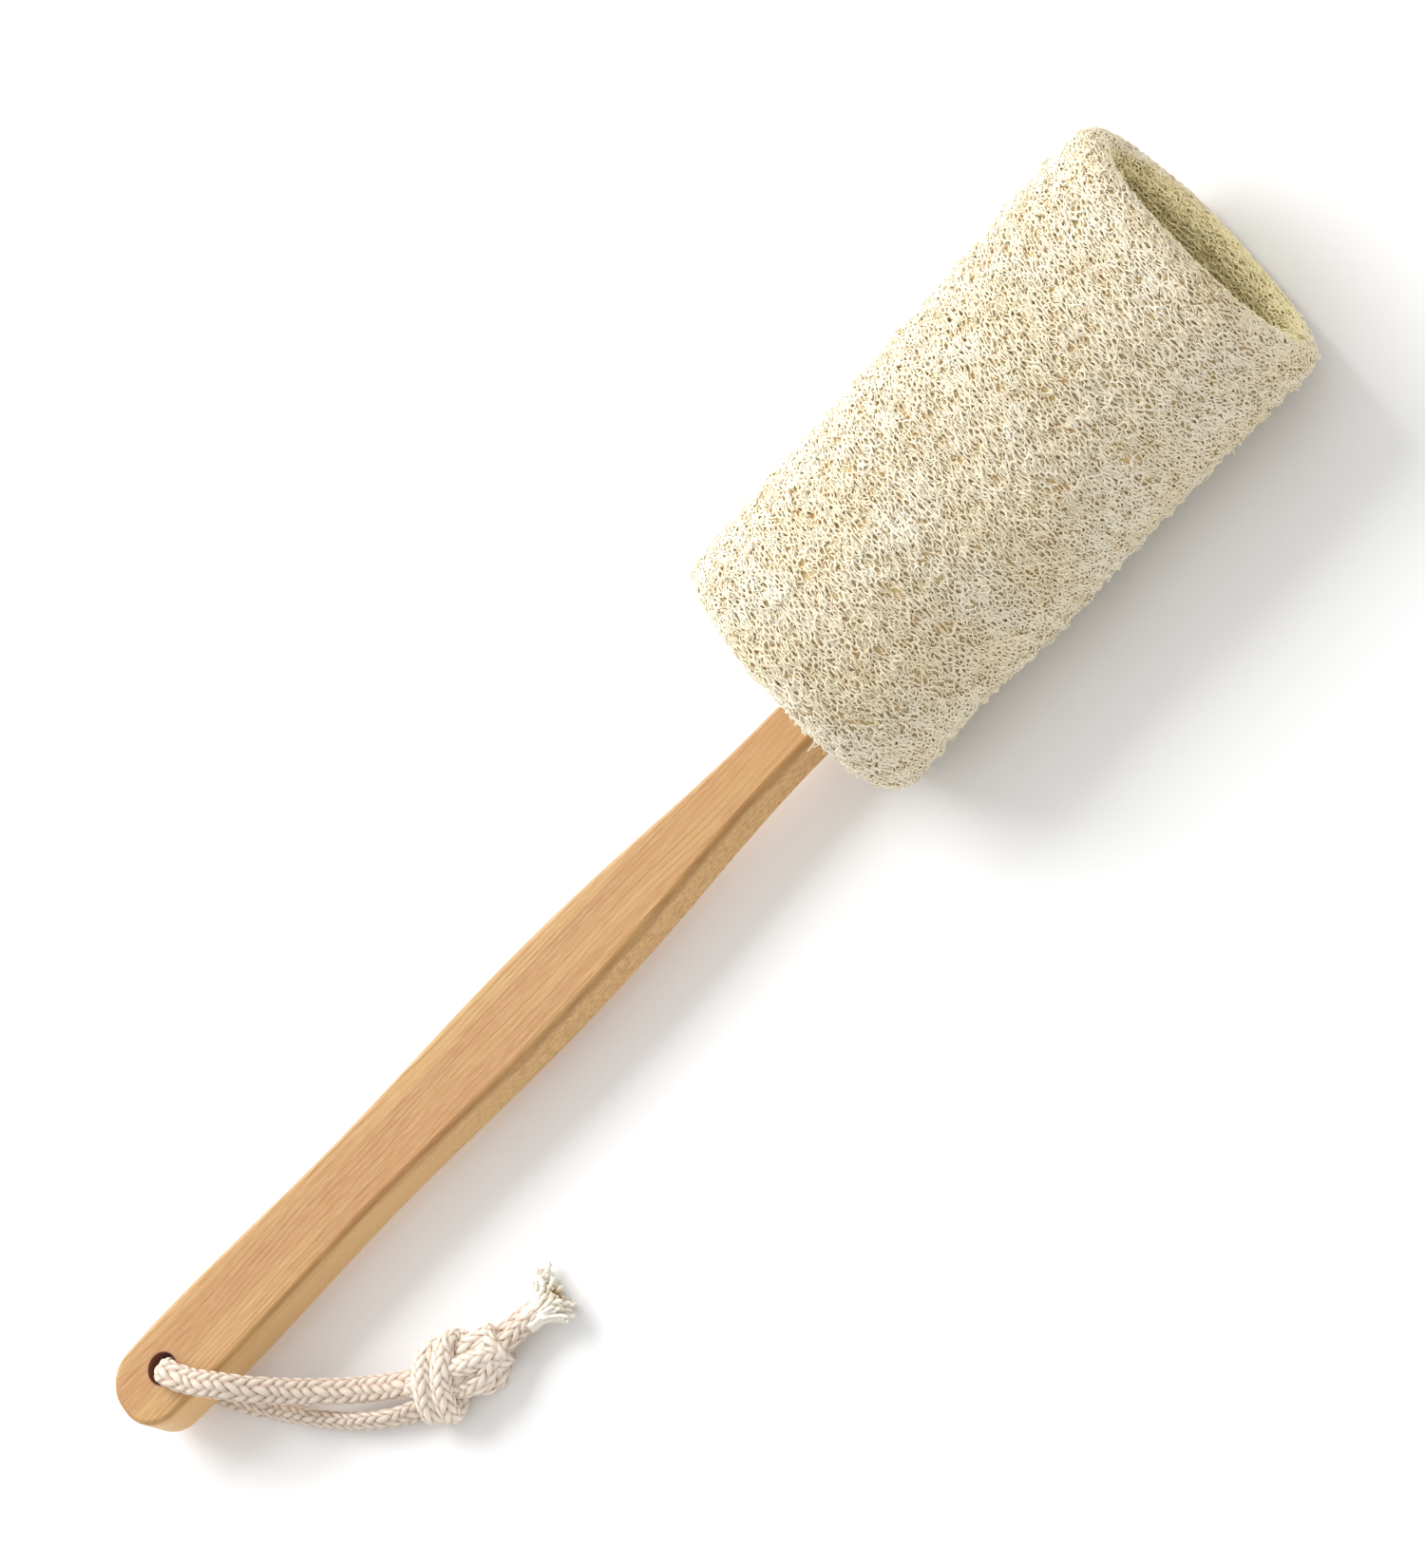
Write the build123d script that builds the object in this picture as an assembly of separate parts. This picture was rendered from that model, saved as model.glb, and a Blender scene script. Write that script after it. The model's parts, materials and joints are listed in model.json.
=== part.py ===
"""Long-handled loofah back scrubber: wooden handle, hollow loofah head, tied hanging cord.

Millimetres. The scrubber lies flat with its broad face up. +X runs along the handle towards the
head, +Z is up, and the origin is the middle of the head's flat underside, on the surface.
"""
from build123d import *
from math import atan2, cos, pi, radians, sin, tan
import os

os.makedirs("parts", exist_ok=True)

# overall sizes
OVERALL_LENGTH = 404.0        # handle tip to the mouth of the head
HEAD_LENGTH = 152.0           # 6 in
HEAD_WIDTH_CLOSED = 81.5      # across the end that closes round the handle
HEAD_WIDTH_MOUTH = 87.0       # across the open end
HEAD_HEIGHT_CLOSED = 54.0     # of the full oval, before the underside is flattened
HEAD_HEIGHT_MOUTH = 57.0

# loofah wall
WALL = 8.7                    # sides and top
WALL_UNDER = 6.2              # underside, pressed thinner where the handle is stapled to it
END_WALL = 8.0                # closed end
UNDERSIDE_FLAT = 2.6          # how much of the oval the flat underside takes off
FLOOR_FLAT = 2.2              # the same for the inside floor
CLOSED_END_ROUND = 6.0
MOUTH_LEAN = 4.5               # how far the top of the mouth stands back from its underside
MOUTH_ROUND_OUTER = 3.0
MOUTH_ROUND_INNER = 2.6
HEAD_YAW = 1.4                # degrees, the head sits slightly turned on the handle

# handle
HANDLE_THICKNESS = 12.5
HANDLE_GAP_UNDER = 0.8        # air between the inside floor of the head and the blade
HANDLE_OFFSET_Y = -7.0        # centre line of the handle beside the middle of the head
TIP_WIDTH = 21.0
END_WIDTH = 22.4
WAIST_WIDTH = 20.3
WAIST_AT = 83.0               # distances from the handle's tip
BELLY_WIDTH = 22.4
BELLY_AT = 153.0
SHOULDER_WAY = 0.42           # share of the way from the belly to the neck
SHOULDER_FULLNESS = 0.66      # share of the belly's extra width that is left there
NECK_WIDTH = 13.2
NECK_AT = 238.0
BLADE_LENGTH = 88.0           # part of the handle that is hidden inside the head
TIP_CORNER_RADIUS = 10.0
HANDLE_EDGE_RADIUS = 1.3
HANG_HOLE_AT = 15.0
HANG_HOLE_DIAMETER = 8.4
SLOT_CLEARANCE = 0.35         # loofah round the neck of the handle

# staples that hold the head's underside to the blade
STAPLE_COUNT = 3
STAPLE_PITCH = 18.0
STAPLE_FIRST = 20.0           # from the closed end of the head
STAPLE_WIRE = 1.2
STAPLE_CROWN = 8.0
STAPLE_CROWN_Z = 2.6
STAPLE_BEND = 1.0
STAPLE_BITE = 5.0             # how deep the legs go into the blade
FIXING_CLEARANCE = 0.05

# thread stitches that draw the closed end together, each side of the handle
STITCHES_PER_SIDE = 3
STITCH_PITCH = 6.0
STITCH_FROM_HANDLE = 5.0
STITCH_THREAD = 1.3
STITCH_HEIGHT = 6.5
STITCH_SEAM_Z = 21.0
STITCH_STAND_OFF = 0.8        # thread centre outside the loofah's surface

# hanging cord
CORD_DIAMETER = 5.0
TAIL_DIAMETER = 5.0
CORD_CLEARANCE = 0.8          # cord over the handle's face, so that it swings freely
CORD_OFF_SURFACE = 0.1
KNOT_SIZE = (21.0, 16.0, 13.0)
KNOT_TURN = -12.0

# values that follow from the sizes above
HEAD_START = -HEAD_LENGTH / 2
HEAD_END = HEAD_LENGTH / 2
TIP_X = HEAD_END - OVERALL_LENGTH
HANDLE_BOTTOM = WALL_UNDER + HANDLE_GAP_UNDER
HANDLE_TOP = HANDLE_BOTTOM + HANDLE_THICKNESS
HEAD_PLACE = Rot(0, 0, HEAD_YAW)
HANDLE_PLACE = Pos(TIP_X, HANDLE_OFFSET_Y, HANDLE_BOTTOM)
BLADE_END_AT = HEAD_START - TIP_X + BLADE_LENGTH
UNCUT_END = HEAD_END + MOUTH_LEAN      # where the head's body ends before its mouth is cut

HOLE_X = TIP_X + HANG_HOLE_AT
HOLE_Y = HANDLE_OFFSET_Y
OVER = HANDLE_TOP + CORD_DIAMETER / 2 + CORD_CLEARANCE
UNDER = CORD_DIAMETER / 2 + CORD_OFF_SURFACE

# The cord's points are sideways distances from the axis of the hole, and heights above the surface.
KNOT_CENTRE = (59.4, -55.0, 6.8)

# Loop from the knot, over the handle, down through the hole, under the handle and back.
LOOP_ROUTE = [
    (52.5, -50.6, 7.4),
    (44.2, -44.6, 6.0),
    (33.7, -36.8, 6.4),
    (24.0, -29.0, 10.6),
    (15.5, -21.9, OVER - 5.2),
    (9.8, -15.7, OVER - 0.4),
    (4.1, -8.9, OVER),
    (0.0, 0.0, OVER),
    (0.0, 0.0, UNDER),
    (3.7, -9.3, UNDER),
    (10.2, -20.2, UNDER),
    (19.0, -30.6, UNDER),
    (29.5, -40.6, UNDER),
    (40.6, -48.8, 2.7),
    (49.5, -55.3, 3.4),
]
TAIL_ROUTES = [
    [(64.5, -52.4, 6.2), (75.0, -52.0, 4.0), (86.5, -53.0, 3.0)],
    [(64.0, -58.2, 5.6), (74.4, -57.6, 3.2), (86.0, -58.6, 2.7)],
]


def save(shape, node):
    export_step(shape, f"parts/{node}.step")
    print(f"{node:18s} {shape.volume:10.1f} mm3")


def handle_outline():
    """Flat outline of the handle, tip at x = 0, blade end at BLADE_END_AT."""
    shoulder_at = BELLY_AT + SHOULDER_WAY * (NECK_AT - BELLY_AT)
    shoulder = NECK_WIDTH + SHOULDER_FULLNESS * (BELLY_WIDTH - NECK_WIDTH)
    side = [
        (0, TIP_WIDTH / 2),
        (HANG_HOLE_AT, END_WIDTH / 2),
        (WAIST_AT, WAIST_WIDTH / 2),
        (BELLY_AT, BELLY_WIDTH / 2),
        (shoulder_at, shoulder / 2),
        (NECK_AT, NECK_WIDTH / 2),
    ]
    upper = Spline(side, tangents=[(1, 0.04), (1, -0.02)])
    upper += Line((NECK_AT, NECK_WIDTH / 2), (BLADE_END_AT, NECK_WIDTH / 2))
    lower = mirror(upper, about=Plane.XZ)
    tip = Line((0, -TIP_WIDTH / 2), (0, TIP_WIDTH / 2))
    end = Line((BLADE_END_AT, NECK_WIDTH / 2), (BLADE_END_AT, -NECK_WIDTH / 2))
    face = make_face(Curve() + [tip, upper, end, lower])
    corners = [v for v in face.vertices() if v.X < 1]
    return fillet(corners, TIP_CORNER_RADIUS)


def make_handle():
    """One board: grip, belly, neck and the blade inside the head, with the hanging hole."""
    board = extrude(handle_outline(), HANDLE_THICKNESS)
    broad_faces = board.faces().filter_by(Axis.Z)
    board = fillet(broad_faces.edges(), HANDLE_EDGE_RADIUS)
    hole = Pos(HANG_HOLE_AT, 0, HANDLE_THICKNESS / 2)
    board -= hole * Cylinder(HANG_HOLE_DIAMETER / 2, 2 * HANDLE_THICKNESS)
    return HANDLE_PLACE * board


def oval(x, half_width, top, bottom):
    """Upright oval section at x, from bottom to top."""
    plane = Plane(origin=(x, 0, (top + bottom) / 2), x_dir=(0, 1, 0), z_dir=(1, 0, 0))
    return plane * Ellipse(half_width, (top - bottom) / 2)


def head_width(x):
    share = (x - HEAD_START) / HEAD_LENGTH
    return HEAD_WIDTH_CLOSED + share * (HEAD_WIDTH_MOUTH - HEAD_WIDTH_CLOSED)


def head_top(x):
    share = (x - HEAD_START) / HEAD_LENGTH
    return HEAD_HEIGHT_CLOSED + share * (HEAD_HEIGHT_MOUTH - HEAD_HEIGHT_CLOSED) - UNDERSIDE_FLAT


def head_outside():
    """Full oval body before the underside is flattened, with its closed end rounded."""
    ends = [oval(x, head_width(x) / 2, head_top(x), -UNDERSIDE_FLAT) for x in (HEAD_START, UNCUT_END)]
    body = loft(ends)
    return fillet(body.faces().sort_by(Axis.X)[0].edges(), CLOSED_END_ROUND)


def head_inside():
    """Full oval hollow, from the inside of the closed end to past the mouth."""
    ends = []
    for x in (HEAD_START + END_WALL, UNCUT_END):
        ends.append(oval(x, head_width(x) / 2 - WALL, head_top(x) - WALL, WALL_UNDER - FLOOR_FLAT))
    return loft(ends)


def slab(x0, x1, z0, z1):
    """Box across the whole width of the head."""
    middle = Pos((x0 + x1) / 2, 0, (z0 + z1) / 2)
    return middle * Box(x1 - x0, 2 * HEAD_WIDTH_MOUTH, z1 - z0)


def neck_slot():
    """Slot through the closed end for the neck, along the handle's own line."""
    wide = NECK_WIDTH + 2 * SLOT_CLEARANCE
    high = HANDLE_THICKNESS + 2 * SLOT_CLEARANCE
    middle = Pos(HEAD_START + END_WALL / 2, HANDLE_OFFSET_Y, HANDLE_BOTTOM + HANDLE_THICKNESS / 2)
    return middle * Box(END_WALL + 8, wide, high)


def make_staple(index, grow=0.0):
    """Staple with its crown across the handle inside the underside, legs up into the blade."""
    wire = STAPLE_WIRE + 2 * grow
    x = HEAD_START + STAPLE_FIRST + index * STAPLE_PITCH
    y0 = HANDLE_OFFSET_Y - STAPLE_CROWN / 2
    y1 = HANDLE_OFFSET_Y + STAPLE_CROWN / 2
    top = HANDLE_BOTTOM + STAPLE_BITE + grow
    corners = [(x, y0, top), (x, y0, STAPLE_CROWN_Z), (x, y1, STAPLE_CROWN_Z), (x, y1, top)]
    path = FilletPolyline(corners, radius=STAPLE_BEND)
    return sweep(Plane(origin=path @ 0, z_dir=path % 0) * Circle(wire / 2), path=path)


def make_stitch(side, index, grow=0.0):
    """One closed turn of thread round the end wall, at a distance to one side of the handle."""
    thread = STITCH_THREAD + 2 * grow
    handle_y = HANDLE_OFFSET_Y - HEAD_START * tan(radians(HEAD_YAW))
    y = handle_y + side * (NECK_WIDTH / 2 + STITCH_FROM_HANDLE + index * STITCH_PITCH)
    long_side = END_WALL + 2 * STITCH_STAND_OFF
    centre = (HEAD_START + END_WALL / 2, y, STITCH_SEAM_Z)
    plane = Plane(origin=centre, x_dir=(1, 0, 0), z_dir=(0, -1, 0))
    ring = RectangleRounded(long_side, STITCH_HEIGHT, STITCH_HEIGHT / 3)
    path = (plane * ring).face().outer_wire()
    return sweep(Plane(origin=path @ 0, z_dir=path % 0) * Circle(thread / 2), path=path)


def stitch_places():
    return [(side, index) for side in (-1, 1) for index in range(STITCHES_PER_SIDE)]


def mouth_plane():
    """The cut of the mouth: upright at the underside's rim, with its top leaning back."""
    lean = atan2(MOUTH_LEAN, HEAD_HEIGHT_MOUTH)
    return Plane(origin=(HEAD_END, 0, MOUTH_ROUND_OUTER), z_dir=(cos(lean), 0, sin(lean)))


def rim_of(shell):
    return shell.faces().filter_by(GeomType.PLANE).sort_by(Axis.X)[-1]


def rounded_shell():
    """Full oval shell, cut at the mouth, with both edges of the mouth rounded."""
    shell = split(head_outside() - head_inside(), bisect_by=mouth_plane(), keep=Keep.BOTTOM)
    shell = fillet(rim_of(shell).inner_wires()[0].edges(), MOUTH_ROUND_INNER)
    return fillet(rim_of(shell).outer_wire().edges(), MOUTH_ROUND_OUTER)


def make_sleeve():
    """Hollow loofah head with a flat underside, the slot for the neck and channels for fixings."""
    floor_end = HEAD_END - 2 * MOUTH_ROUND_INNER
    floor_pad = head_inside() & slab(HEAD_START + END_WALL, floor_end, 0, WALL_UNDER)
    sleeve = rounded_shell() + floor_pad
    sleeve -= slab(HEAD_START - 1, HEAD_END + 1, -2 * UNDERSIDE_FLAT, 0)
    for side, index in stitch_places():
        sleeve -= make_stitch(side, index, FIXING_CLEARANCE)
    sleeve = HEAD_PLACE * sleeve
    sleeve -= neck_slot()
    for index in range(STAPLE_COUNT):
        sleeve -= make_staple(index, FIXING_CLEARANCE)
    return sleeve


def arc_radii(points):
    """Largest tangent arc at each inner point: 0.45 of the shorter run over tan of half the turn."""
    radii = []
    for before, here, after in zip(points, points[1:], points[2:]):
        run_in = Vector(*here) - Vector(*before)
        run_out = Vector(*after) - Vector(*here)
        half_turn = radians(run_in.get_angle(run_out)) / 2
        radii.append(0.45 * min(run_in.length, run_out.length) / tan(half_turn))
    return radii


def from_hole(point):
    return (HOLE_X + point[0], HOLE_Y + point[1], point[2])


def make_cord(route, diameter, name):
    points = [from_hole(point) for point in route]
    radii = arc_radii(points)
    path = FilletPolyline(points, radius=radii)
    start = Plane(origin=path @ 0, z_dir=path % 0)
    tube = sweep(start * Circle(diameter / 2), path=path)
    plain_volume = pi * diameter ** 2 / 4 * path.length
    print(name, "radii", [round(r, 1) for r in radii])
    print(name, "length", round(path.length, 1), "volume ratio", round(tube.volume / plain_volume, 4))
    return tube


def make_knot():
    """Plain lump the size of the overhand knot in the doubled cord."""
    lump = scale(Sphere(0.5), by=KNOT_SIZE)
    return Pos(*from_hole(KNOT_CENTRE)) * Rot(0, 0, KNOT_TURN) * lump


def main():
    handle = make_handle()
    staples = [make_staple(index) for index in range(STAPLE_COUNT)]
    for index in range(STAPLE_COUNT):
        handle -= make_staple(index, FIXING_CLEARANCE)
    save(handle, "handle")
    save(make_sleeve(), "loofah_sleeve")
    save(Compound(children=staples), "staples")
    stitches = [HEAD_PLACE * make_stitch(side, index) for side, index in stitch_places()]
    save(Compound(children=stitches), "closing_stitches")
    save(make_cord(LOOP_ROUTE, CORD_DIAMETER, "loop"), "hanging_cord")
    save(make_knot(), "cord_knot")
    for number, points in enumerate(TAIL_ROUTES, start=1):
        save(make_cord(points, TAIL_DIAMETER, f"tail {number}"), f"cord_tail_{number}")


main()
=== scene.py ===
# %% [markdown]
# # A loofah back scrubber
# A flat wooden handle, a hollow loofah head with an open mouth, and a short braided cotton cord that
# is tied in a knot through the handle's end. The solid model gives every piece its place and size.
# This notebook puts the real surfaces on it: fibre net, braid, knot, wood grain, and then the light.

# %% Load the solid model
import bpy
import json
import math
import numpy as np
from mathutils import Matrix, Vector


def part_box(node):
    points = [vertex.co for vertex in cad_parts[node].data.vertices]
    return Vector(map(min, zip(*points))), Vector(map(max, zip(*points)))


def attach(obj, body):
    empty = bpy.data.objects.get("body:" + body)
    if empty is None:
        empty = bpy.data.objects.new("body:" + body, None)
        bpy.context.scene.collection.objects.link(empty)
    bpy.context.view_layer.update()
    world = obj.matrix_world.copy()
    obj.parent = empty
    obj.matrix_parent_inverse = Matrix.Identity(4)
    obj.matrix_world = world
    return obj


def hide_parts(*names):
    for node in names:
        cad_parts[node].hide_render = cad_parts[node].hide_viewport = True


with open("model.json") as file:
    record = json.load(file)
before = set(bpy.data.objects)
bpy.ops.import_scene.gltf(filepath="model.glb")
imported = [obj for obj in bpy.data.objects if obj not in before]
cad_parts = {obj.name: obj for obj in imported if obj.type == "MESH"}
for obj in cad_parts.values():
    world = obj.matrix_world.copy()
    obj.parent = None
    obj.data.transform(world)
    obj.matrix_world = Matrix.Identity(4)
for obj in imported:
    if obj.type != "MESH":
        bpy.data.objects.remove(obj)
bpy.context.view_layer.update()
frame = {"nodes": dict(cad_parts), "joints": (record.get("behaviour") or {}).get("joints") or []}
MM = 0.001
print("solid pieces:", sorted(frame["nodes"]))

# %% [markdown]
# ## The camera
# The scrubber is seen from above its right-hand side, with a long lens, and turned so that the handle
# climbs to the upper right. A camera could be turned by hand, but an azimuth, a height and a roll
# say the same thing in three numbers, so the place is worked out from them.

# %% Camera
CAMERA_TARGET = Vector((-0.1079, -0.0032, 0.020))
CAMERA_AZIMUTH = math.radians(-64.32)
CAMERA_HEIGHT = math.radians(56.86)
CAMERA_ROLL = math.radians(-67.65)
CAMERA_DISTANCE = 2.485
CAMERA_LENS = 233.8


def look_frame(azimuth, height, roll):
    """Right, up and backward directions of a camera that looks at its target."""
    flat = Vector((math.cos(azimuth), math.sin(azimuth), 0))
    back = flat * math.cos(height) + Vector((0, 0, math.sin(height)))
    level = (-back).cross(Vector((0, 0, 1))).normalized()
    above = level.cross(-back)
    right = level * math.cos(roll) + above * math.sin(roll)
    return right, back.cross(right), back


VIEW_RIGHT, VIEW_UP, VIEW_BACK = look_frame(CAMERA_AZIMUTH, CAMERA_HEIGHT, CAMERA_ROLL)
camera = bpy.data.objects.new("camera", bpy.data.cameras.new("camera"))
camera.data.lens = CAMERA_LENS
camera.data.sensor_width = 36
camera.data.clip_end = 20
turn = Matrix((VIEW_RIGHT, VIEW_UP, VIEW_BACK)).transposed().to_4x4()
camera.matrix_world = Matrix.Translation(CAMERA_TARGET + VIEW_BACK * CAMERA_DISTANCE) @ turn
bpy.context.scene.collection.objects.link(camera)
bpy.context.scene.camera = camera
print("camera at", [round(v, 3) for v in camera.matrix_world.translation])

# %% [markdown]
# ## Two small helpers for nodes
# Materials and Geometry Nodes are both trees of nodes. `Wire` is the end of a link that can be added
# and multiplied like a number, and `Tree` adds any other node: its settings first, then its sockets.

# %% Wire
class Wire:
    """A socket that works in sums: each operator adds a Math node."""

    def __init__(self, tree, socket):
        self.tree, self.socket = tree, socket

    def sum_node(self, operation, first, second):
        node = self.tree.nodes.new("ShaderNodeMath")
        node.operation = operation
        for place, value in enumerate((first, second)):
            if isinstance(value, Wire):
                self.tree.links.new(value.socket, node.inputs[place])
            else:
                node.inputs[place].default_value = value
        return Wire(self.tree, node.outputs[0])

    def __add__(self, other):
        return self.sum_node("ADD", self, other)

    __radd__ = __add__

    def __sub__(self, other):
        return self.sum_node("SUBTRACT", self, other)

    def __rsub__(self, other):
        return self.sum_node("SUBTRACT", other, self)

    def __mul__(self, other):
        return self.sum_node("MULTIPLY", self, other)

    __rmul__ = __mul__

    def __pow__(self, other):
        return self.sum_node("POWER", self, other)


# %% [markdown]
# Written out, any other node takes a line for each setting and each socket, and its purpose is lost
# among them. One method takes them all and gives back the output that is wanted, as a `Wire`.

# %% Tree
class Tree:
    """Adds nodes to one shader or geometry tree."""

    def __init__(self, nodes_tree):
        self.tree = nodes_tree

    def node(self, kind, settings=None, sockets=None, out=0):
        """One node: settings are set first, then values or links by socket name or number."""
        node = self.tree.nodes.new(kind)
        for name, value in (settings or {}).items():
            if name == "stops":
                self.set_stops(node.color_ramp, value)
            else:
                setattr(node, name, value)
        for key, value in (sockets or {}).items():
            if isinstance(value, Wire):
                self.tree.links.new(value.socket, node.inputs[key])
            else:
                node.inputs[key].default_value = value
        if out is None:
            return node
        return Wire(self.tree, node.outputs[out])

    def set_stops(self, ramp, stops):
        while len(ramp.elements) < len(stops):
            ramp.elements.new(0.5)
        for element, (place, colour) in zip(ramp.elements, stops):
            element.position = place
            element.color = (*colour, 1)


# %% [markdown]
# ## Small helpers for materials
# Colours are given as from a paint card, but a shader adds up light, so `srgb` turns one into
# the other. A value that is the same all over goes on the shader's own socket, and `plug` links what
# changes over the surface. `blended` mixes two colours, and `ranged` makes a soft step of a number.

# %% Material helpers
def srgb(red, green, blue):
    """A colour as a paint card gives it, 0 to 255, turned into the light values a shader adds up."""
    return tuple(((value / 255 + 0.055) / 1.055) ** 2.4 for value in (red, green, blue))


def finish_named(name, roughness, **fixed):
    """A new material with its Principled shader. Values that are the same all over are set here."""
    material = bpy.data.materials.new(name)
    material.use_nodes = True
    shader = material.node_tree.nodes["Principled BSDF"]
    shader.inputs["Roughness"].default_value = roughness
    for key, value in fixed.items():
        shader.inputs[key.replace("_", " ")].default_value = value
    return material, Tree(material.node_tree), shader


def plug(tree, wire, shader, socket):
    tree.tree.links.new(wire.socket, shader.inputs[socket])


def blended(tree, share, first, second):
    sides = [side if isinstance(side, Wire) else (*side, 1) for side in (first, second)]
    sockets = {0: share, 6: sides[0], 7: sides[1]}
    return tree.node("ShaderNodeMix", {"data_type": "RGBA"}, sockets, out=2)


def ranged(tree, value, low, high, start=0.0, end=1.0):
    """The value turned from low..high into start..end, smoothly and without going past."""
    sockets = {"Value": value, "From Min": low, "From Max": high, "To Min": start, "To Max": end}
    return tree.node("ShaderNodeMapRange", {"interpolation_type": "SMOOTHSTEP"}, sockets)


print("a middle grey as light:", round(srgb(128, 128, 128)[0], 3))

# %% [markdown]
# ## The hanging cord
# One soft braided cotton cord, flat rather than round, goes over the handle's face, down through the
# hole and back under the handle to the knot. A curve with a round bevel would look like wire. So the
# route is a smooth spline through the air, and a skin is laid along the points read from it, with
# the over-and-under of the braid pressed into the skin.

# %% The cord's route
hinge = frame["joints"][0]
HOLE = Vector((hinge["pos_m"][0], hinge["pos_m"][1], 0))
HANDLE_LOW, HANDLE_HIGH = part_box("handle")
CORD_CAD_DIAMETER = 5.0
OVER = HANDLE_HIGH.z / MM + CORD_CAD_DIAMETER / 2 + 0.8
UNDER = CORD_CAD_DIAMETER / 2 + 0.1
LOOP_ROUTE = [
    (52.5, -50.6, 7.4),
    (44.2, -44.6, 6.0),
    (33.7, -36.8, 6.4),
    (24.0, -29.0, 10.6),
    (15.5, -21.9, OVER - 5.2),
    (9.8, -15.7, OVER - 0.4),
    (4.1, -8.9, OVER),
    (0.0, 0.0, OVER),
    (0.0, 0.0, UNDER),
    (3.7, -9.3, UNDER),
    (10.2, -20.2, UNDER),
    (18.4, -31.2, UNDER + 1.0),
    (28.2, -42.0, UNDER + 1.3),
    (39.4, -50.4, 4.0),
    (49.5, -55.0, 4.2),
]
TAIL_ROUTES = [
    [(64.5, -52.8, 5.2), (75.0, -53.8, 3.6), (85.0, -54.6, 3.0)],
    [(64.0, -57.2, 7.4), (74.4, -57.0, 6.6), (84.6, -57.3, 5.8)],
]
print("hole at", [round(v / MM, 1) for v in HOLE], "mm, cord over it at", round(OVER, 1), "mm")

# %% [markdown]
# A spline object is only a recipe for a line. To lay a skin along it, its points are read off once and
# then set an even step apart, so that all stitches of the braid come out alike.

# %% Smooth lines
CORD_STEP = 0.3 * MM
SPLINE_DETAIL = 24


def from_hole(point):
    """A place given in mm from the hole's axis, in the part's own metres."""
    return HOLE + Vector(point) * MM


def smooth_line(name, route):
    """Points along a smooth spline that has the route as its control points."""
    curve = bpy.data.curves.new(name, "CURVE")
    curve.dimensions = "3D"
    spline = curve.splines.new("NURBS")
    spline.points.add(len(route) - 1)
    for place, point in zip(spline.points, route):
        place.co = (*from_hole(point), 1)
    spline.order_u = 3
    spline.use_endpoint_u = True
    spline.resolution_u = SPLINE_DETAIL
    curve_object = bpy.data.objects.new(name, curve)
    bpy.context.scene.collection.objects.link(curve_object)
    bpy.context.view_layer.update()
    evaluated = curve_object.evaluated_get(bpy.context.evaluated_depsgraph_get())
    line = bpy.data.meshes.new_from_object(evaluated)
    points = np.array([v.co for v in line.vertices])
    bpy.data.objects.remove(curve_object)
    return points


def even_steps(points, step):
    """The same line with its points an even step apart."""
    gaps = np.linalg.norm(np.diff(points, axis=0), axis=1)
    along = np.concatenate([[0], np.cumsum(gaps)])
    places = np.linspace(0, along[-1], max(int(along[-1] / step), 4) + 1)
    return np.stack([np.interp(places, along, points[:, k]) for k in range(3)], axis=1), places


loop_points = smooth_line("loop_line", LOOP_ROUTE)
loop_line, loop_along = even_steps(loop_points, CORD_STEP)
print("cord loop is", round(loop_along[-1] / MM, 1), "mm long")

# %% [markdown]
# ## Braid
# In a round braid half of the yarns wind one way and half the other, each going over two and under
# two. Seen from outside, each yarn shows as a short fat slanting stitch. An image of a braid could be
# wrapped round a tube, but the outline would stay straight. So the height of the top yarn at each
# point is worked out by a formula, and it lifts the skin of the cord.

# %% Braid relief
CORD_WIDTH = 6.6 * MM
CORD_THICKNESS = 4.0 * MM
BRAID_YARNS = 8
BRAID_PITCH = 25.0 * MM
BRAID_RELIEF = 0.8 * MM
BRAID_MIDDLE = 0.75


def braid(turn, along):
    """Height of the braid, and the place across the yarn that is on top.

    turn goes from 0 to 1 round the cord. The slow waves make the stitches a little uneven.
    """
    along = along + 0.5 * MM * np.sin(310 * along) + 0.3 * MM * np.sin(835 * along + 1)
    turn = turn + 0.015 * np.sin(520 * along)
    one = BRAID_YARNS * (turn + along / BRAID_PITCH)
    two = BRAID_YARNS * (turn - along / BRAID_PITCH)
    across_one, across_two = one % 1, two % 1
    float_one = np.sin(math.pi / 2 * (np.floor(one) + two))
    float_two = -np.sin(math.pi / 2 * (one + np.floor(two)))
    high_one = 0.6 * np.sqrt(np.clip(1 - (2 * across_one - 1) ** 2, 0, 1)) + 0.4 * float_one
    high_two = 0.6 * np.sqrt(np.clip(1 - (2 * across_two - 1) ** 2, 0, 1)) + 0.4 * float_two
    first = high_one > high_two
    return np.where(first, high_one, high_two), np.where(first, across_one, across_two)


print("each yarn goes once round in", round(BRAID_PITCH / MM), "mm")

# %% [markdown]
# ## Skin of a cord
# A bevelled curve can only have one section all the way, and it may twist where it likes. Here a ring
# of points is set round each point of the line, its side direction carried along with as little twist
# as possible, and the rings are joined by faces. No point goes below the resting surface.

# %% Skin along a line
AROUND_CORD = 80
REST = 0.1 * MM


def directions(points):
    """Direction of the line at each of its points, one long."""
    ways = np.gradient(points, axis=0)
    return ways / np.linalg.norm(ways, axis=1)[:, None]


def carried_sides(points, side):
    """The side direction at each point, turned as little as possible on the way."""
    sides = np.zeros_like(points)
    side = np.array(side, float)
    for place, way in enumerate(directions(points)):
        side = side - way * side.dot(way)
        side /= np.linalg.norm(side)
        sides[place] = side
    return sides


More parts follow.
